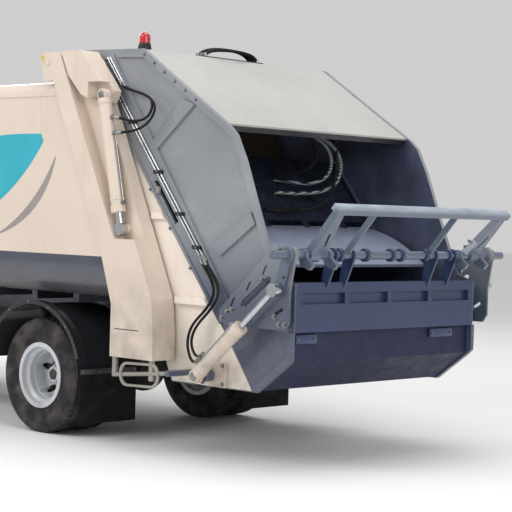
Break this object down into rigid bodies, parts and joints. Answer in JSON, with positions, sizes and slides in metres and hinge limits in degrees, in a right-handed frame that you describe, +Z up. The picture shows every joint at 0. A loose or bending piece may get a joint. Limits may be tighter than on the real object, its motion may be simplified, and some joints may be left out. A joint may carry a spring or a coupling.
{
  "type": "garbage truck",
  "caption": "Rear-loading refuse truck with tilting cab, lifting tailgate, packer slide, sweep blade, ejector plate and bin lifter on rolling wheels.",
  "frame": {"origin": "middle of the box's footprint, on the ground", "axes": "+X to the truck's left, +Y to its rear, +Z up"},
  "size_m": [2.3, 7.0826, 2.763],
  "materials": {
    "body_paint": "gloss",
    "skirt_paint": "satin",
    "tailgate_paint": "gloss",
    "cover_paint": "gloss",
    "lifter_paint": "satin",
    "tub_steel": "worn",
    "chassis_paint": "satin",
    "cab_paint": "gloss",
    "black_plastic": "matt",
    "grey_plastic": "matt",
    "tyre": "matt",
    "rim_paint": "satin",
    "cast": "rough",
    "spring_steel": "satin",
    "chrome_rod": "polished",
    "pipe_steel": "satin",
    "glass": "clear",
    "lamp_lens": "clear",
    "beacon_red": "clear",
    "seat_fabric": "woven",
    "mudflap_rubber": "matt",
    "aluminium": "brushed"
  },
  "bodies": {
    "chassis": {"frame": "chassis_paint", "leaf_springs": "spring_steel", "front_axle": "cast", "rear_axle": "cast", "engine_block": "cast", "propeller_shaft": "chassis_paint", "fuel_tank": "aluminium", "battery_box": "black_plastic", "bumper": "black_plastic", "mudguards": "black_plastic", "mudflaps": "mudflap_rubber", "body_sides": "body_paint", "body_roof": "body_paint", "body_floor": "skirt_paint", "body_front_wall": "body_paint", "rear_posts": "body_paint", "tailgate_latches": "pipe_steel"},
    "ejector": {"ejector_plate": "tub_steel"},
    "cab": {"cab_shell": "cab_paint", "cab_glass": "glass", "grille": "black_plastic", "headlamps": "lamp_lens", "seats": "seat_fabric", "dashboard": "grey_plastic", "mirrors": "black_plastic"},
    "door_left_panel": {"door_left": "cab_paint", "door_glass_left": "glass"},
    "door_right_panel": {"door_right": "cab_paint", "door_glass_right": "glass"},
    "knuckle_left": {"knuckle_left": "cast"},
    "knuckle_right": {"knuckle_right": "cast"},
    "wheel_front_left": {"tyre_front_left": "tyre", "rim_front_left": "rim_paint"},
    "wheel_front_right": {"tyre_front_right": "tyre", "rim_front_right": "rim_paint"},
    "wheels_rear_left": {"tyres_rear_left": "tyre", "rims_rear_left": "rim_paint"},
    "wheels_rear_right": {"tyres_rear_right": "tyre", "rims_rear_right": "rim_paint"},
    "tailgate": {"tailgate_sides": "tailgate_paint", "tailgate_wings": "body_paint", "hinge_arms": "tailgate_paint", "hopper_tub": "tub_steel", "sill_beam": "tailgate_paint", "hopper_cover": "cover_paint", "lifter_plates": "tailgate_paint", "beacon": "beacon_red", "hydraulic_lines": "pipe_steel"},
    "lift_barrels": {"lift_barrels": "tailgate_paint"},
    "lift_rods": {"lift_rods": "chrome_rod"},
    "packer": {"packer_slide": "tub_steel"},
    "sweep": {"sweep_blade": "lifter_paint"},
    "lifter": {"lifter_frame": "lifter_paint", "bin_hooks": "tub_steel"},
    "lifter_barrels": {"lifter_barrels": "body_paint"},
    "lifter_rods": {"lifter_rods": "chrome_rod"}
  },
  "joints": [
    {"name": "cab_tilt", "type": "hinge", "parent": "chassis", "child": "cab", "pos_m": [0, -3.46127, 0.838], "axis": [1, 0, 0], "range_deg": [0, 45]},
    {"name": "door_left_swing", "type": "hinge", "parent": "cab", "child": "door_left_panel", "pos_m": [0.961, -3.24427, 1.3], "axis": [0, 0, -1], "range_deg": [0, 65]},
    {"name": "door_right_swing", "type": "hinge", "parent": "cab", "child": "door_right_panel", "pos_m": [-0.961, -3.24427, 1.3], "axis": [0, 0, 1], "range_deg": [0, 65]},
    {"name": "ejector_travel", "type": "slide", "parent": "chassis", "child": "ejector", "axis": [0, 1, 0], "range_m": [0, 2.6]},
    {"name": "steer_left", "type": "hinge", "parent": "chassis", "child": "knuckle_left", "pos_m": [0.68, -2.46127, 0.4025], "axis": [0, 0, 1], "range_deg": [-35, 35]},
    {"name": "steer_right", "type": "hinge", "parent": "chassis", "child": "knuckle_right", "pos_m": [-0.68, -2.46127, 0.4025], "axis": [0, 0, 1], "range_deg": [-35, 35]},
    {"name": "spin_front_left", "type": "hinge", "parent": "knuckle_left", "child": "wheel_front_left", "pos_m": [0.8325, -2.46127, 0.4025], "axis": [1, 0, 0], "continuous": true},
    {"name": "spin_front_right", "type": "hinge", "parent": "knuckle_right", "child": "wheel_front_right", "pos_m": [-0.8325, -2.46127, 0.4025], "axis": [1, 0, 0], "continuous": true},
    {"name": "spin_rear_left", "type": "hinge", "parent": "chassis", "child": "wheels_rear_left", "pos_m": [0.7625, 0.89873, 0.4025], "axis": [1, 0, 0], "continuous": true},
    {"name": "spin_rear_right", "type": "hinge", "parent": "chassis", "child": "wheels_rear_right", "pos_m": [-0.7625, 0.89873, 0.4025], "axis": [1, 0, 0], "continuous": true},
    {"name": "tailgate_lift", "type": "hinge", "parent": "chassis", "child": "tailgate", "pos_m": [0, 1.08373, 2.573], "axis": [1, 0, 0], "range_deg": [0, 68]},
    {"name": "lift_barrel_swing", "type": "hinge", "parent": "tailgate", "child": "lift_barrels", "pos_m": [0, 1.63373, 2.33], "axis": [1, 0, 0], "range_deg": [-69.5, 0]},
    {"name": "lift_rod_slide", "type": "slide", "parent": "lift_barrels", "child": "lift_rods", "axis": [0, 0.2248, -0.9744], "range_m": [0, 0.68]},
    {"name": "packer_travel", "type": "slide", "parent": "tailgate", "child": "packer", "axis": [0, 0.6239, -0.7815], "range_m": [0, 0.44]},
    {"name": "sweep_swing", "type": "hinge", "parent": "packer", "child": "sweep", "pos_m": [0, 2.30423, 1.4639], "axis": [1, 0, 0], "range_deg": [-120, 0]},
    {"name": "lifter_swing", "type": "hinge", "parent": "tailgate", "child": "lifter", "pos_m": [0, 3.26373, 1.336], "axis": [1, 0, 0], "range_deg": [-15, 85]},
    {"name": "lifter_barrel_swing", "type": "hinge", "parent": "tailgate", "child": "lifter_barrels", "pos_m": [0, 2.55873, 0.55], "axis": [1, 0, 0], "range_deg": [-4.2, 1]},
    {"name": "lifter_rod_slide", "type": "slide", "parent": "lifter_barrels", "child": "lifter_rods", "axis": [0, 0.7482, 0.6635], "range_m": [-0.055, 0.295]}
  ],
  "couplings": [
    {"joint": "steer_right", "follows": "steer_left", "ratio": 1},
    {"joint": "lift_barrel_swing", "follows": "tailgate_lift", "ratio": -1.0145},
    {"joint": "lift_rod_slide", "follows": "tailgate_lift", "m_per_rad": 0.5664},
    {"joint": "lifter_barrel_swing", "follows": "lifter_swing", "ratio": -0.0446},
    {"joint": "lifter_rod_slide", "follows": "lifter_swing", "m_per_rad": 0.1975}
  ]
}
